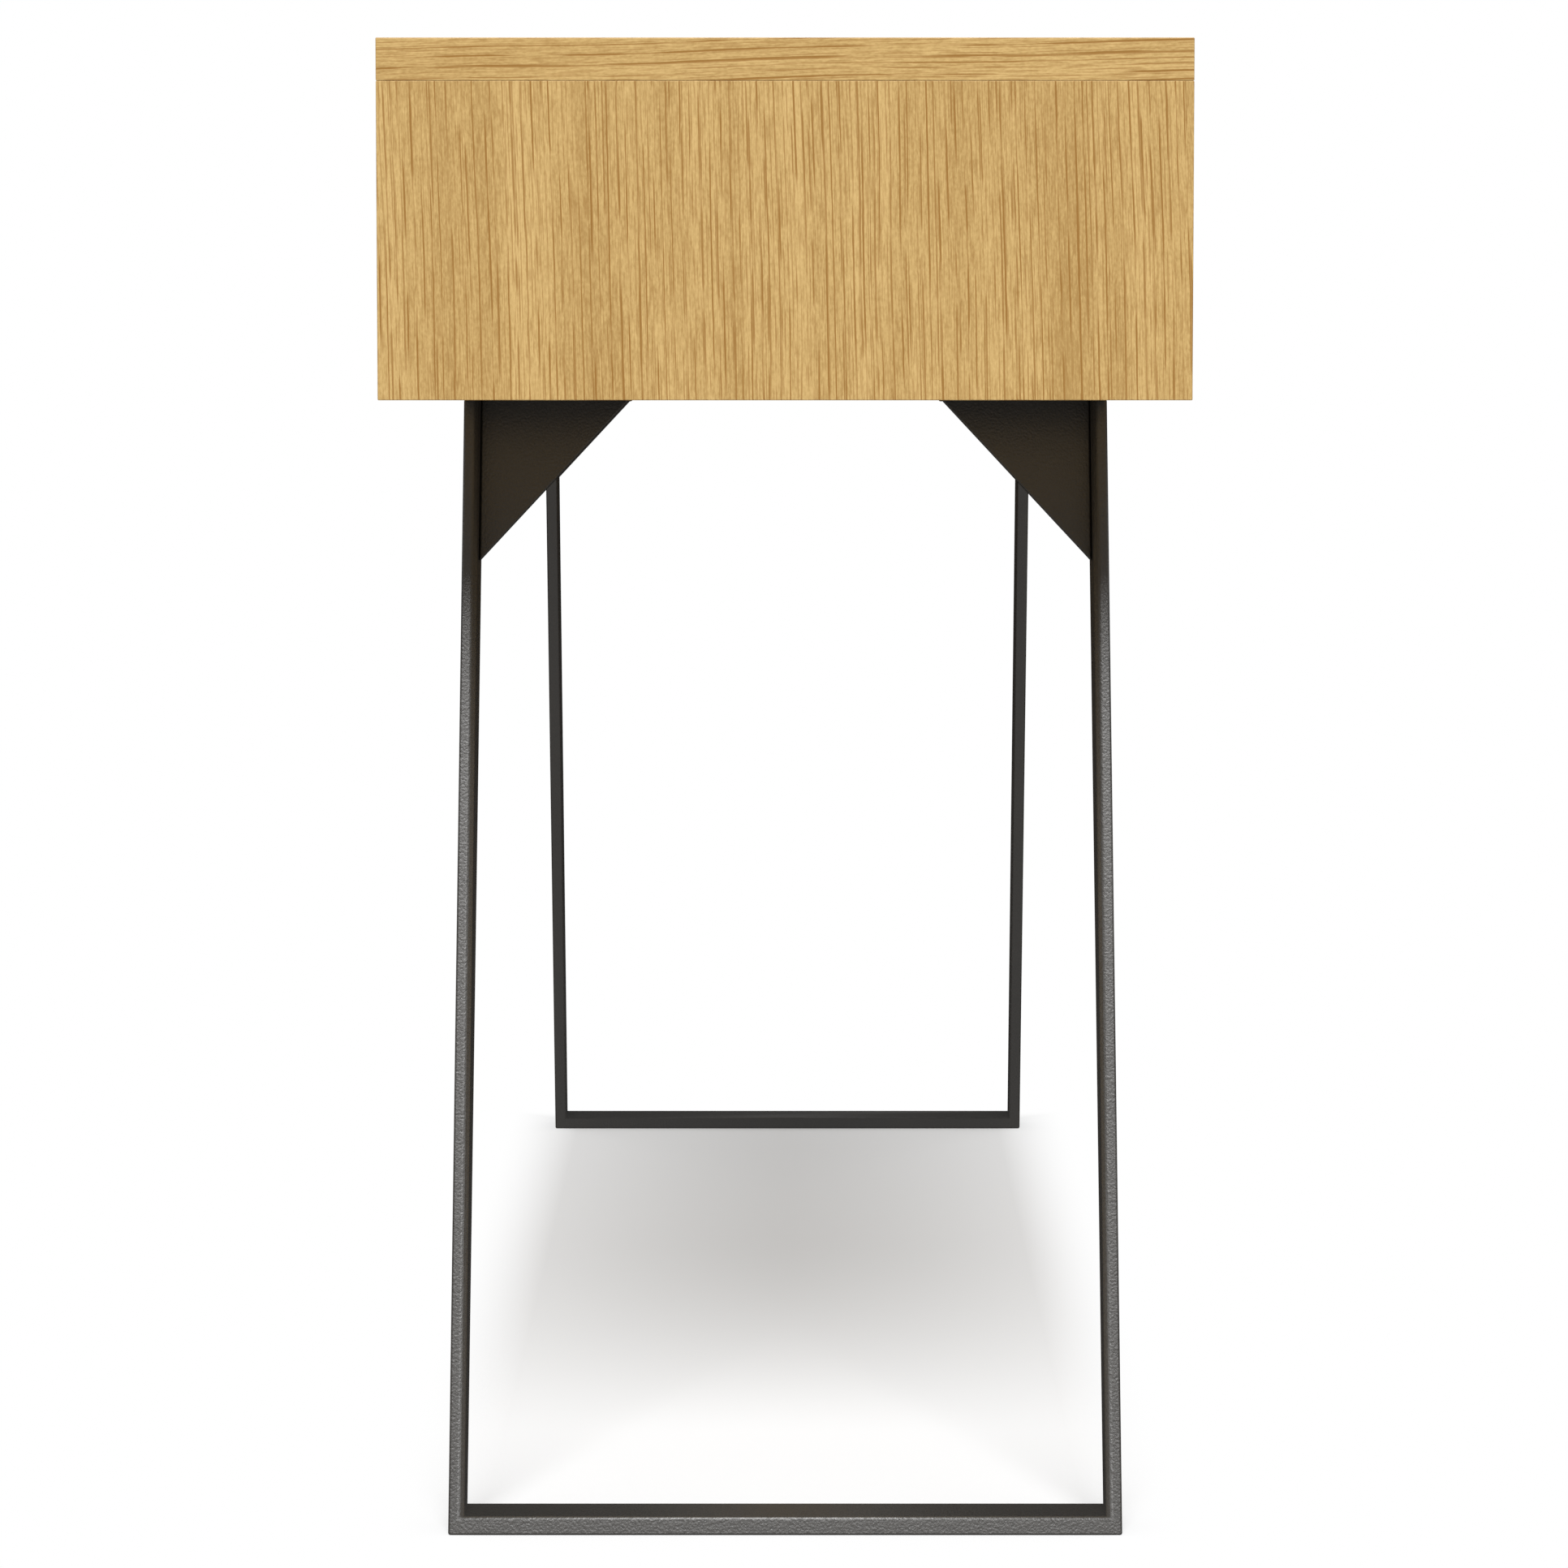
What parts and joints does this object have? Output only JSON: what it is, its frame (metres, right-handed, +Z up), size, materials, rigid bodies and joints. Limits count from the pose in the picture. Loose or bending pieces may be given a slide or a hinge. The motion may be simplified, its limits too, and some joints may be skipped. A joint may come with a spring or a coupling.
{
  "type": "writing desk with drawers",
  "caption": "Shallow oak writing desk with side-by-side drawers on splayed flat-bar steel leg frames with corner gussets.",
  "frame": {"origin": "on the floor under the middle of the desk", "axes": "+X along the desk to the right end, -Y the front where the drawers open, +Z up"},
  "size_m": [1.219, 0.41, 0.762],
  "materials": {
    "oak_veneer": "natural oak veneer, clear matt lacquer, eased edges",
    "liner_board": "pale oak-effect board, matt",
    "birch_ply": "thin birch plywood, clear sealed",
    "powder_coat": "charcoal fine-texture powder coat on steel",
    "zinc_steel": "bright zinc-plated pressed steel",
    "black_bolt": "black oxide steel",
    "clear_rubber": "translucent soft polyurethane"
  },
  "bodies": {
    "carcass": {"top_panel": "oak_veneer", "left_end_panel": "oak_veneer", "right_end_panel": "oak_veneer", "back_panel": "oak_veneer", "bottom_panel": "liner_board", "centre_divider": "liner_board", "left_outer_slide_cabinet_member": "zinc_steel", "left_inner_slide_cabinet_member": "zinc_steel", "right_outer_slide_cabinet_member": "zinc_steel", "right_inner_slide_cabinet_member": "zinc_steel", "left_foot_bar": "powder_coat", "left_front_leg_bar": "powder_coat", "left_rear_leg_bar": "powder_coat", "left_front_gusset": "powder_coat", "left_rear_gusset": "powder_coat", "left_mounting_plate": "powder_coat", "left_bolt_1": "black_bolt", "left_insert_1": "zinc_steel", "left_bolt_2": "black_bolt", "left_insert_2": "zinc_steel", "left_bolt_3": "black_bolt", "left_insert_3": "zinc_steel", "left_bolt_4": "black_bolt", "left_insert_4": "zinc_steel", "right_foot_bar": "powder_coat", "right_front_leg_bar": "powder_coat", "right_rear_leg_bar": "powder_coat", "right_front_gusset": "powder_coat", "right_rear_gusset": "powder_coat", "right_mounting_plate": "powder_coat", "right_bolt_1": "black_bolt", "right_insert_1": "zinc_steel", "right_bolt_2": "black_bolt", "right_insert_2": "zinc_steel", "right_bolt_3": "black_bolt", "right_insert_3": "zinc_steel", "right_bolt_4": "black_bolt", "right_insert_4": "zinc_steel"},
    "left_drawer": {"left_drawer_front": "oak_veneer", "left_drawer_outer_side": "liner_board", "left_drawer_inner_side": "liner_board", "left_drawer_back": "liner_board", "left_drawer_bottom": "birch_ply", "left_outer_slide_drawer_member": "zinc_steel", "left_inner_slide_drawer_member": "zinc_steel", "left_drawer_bumper_1": "clear_rubber", "left_drawer_bumper_2": "clear_rubber"},
    "left_runners": {"left_outer_slide_middle_member": "zinc_steel", "left_inner_slide_middle_member": "zinc_steel"},
    "right_drawer": {"right_drawer_front": "oak_veneer", "right_drawer_outer_side": "liner_board", "right_drawer_inner_side": "liner_board", "right_drawer_back": "liner_board", "right_drawer_bottom": "birch_ply", "right_outer_slide_drawer_member": "zinc_steel", "right_inner_slide_drawer_member": "zinc_steel", "right_drawer_bumper_1": "clear_rubber", "right_drawer_bumper_2": "clear_rubber"},
    "right_runners": {"right_outer_slide_middle_member": "zinc_steel", "right_inner_slide_middle_member": "zinc_steel"}
  },
  "joints": [
    {"name": "left_drawer_slide", "type": "slide", "parent": "carcass", "child": "left_drawer", "axis": [0, -1, 0], "range_m": [0, 0.33]},
    {"name": "left_runner_slide", "type": "slide", "parent": "carcass", "child": "left_runners", "axis": [0, -1, 0], "range_m": [0, 0.165]},
    {"name": "right_drawer_slide", "type": "slide", "parent": "carcass", "child": "right_drawer", "axis": [0, -1, 0], "range_m": [0, 0.33]},
    {"name": "right_runner_slide", "type": "slide", "parent": "carcass", "child": "right_runners", "axis": [0, -1, 0], "range_m": [0, 0.165]}
  ],
  "couplings": [
    {"joint": "left_runner_slide", "follows": "left_drawer_slide", "ratio": 0.5},
    {"joint": "right_runner_slide", "follows": "right_drawer_slide", "ratio": 0.5}
  ]
}
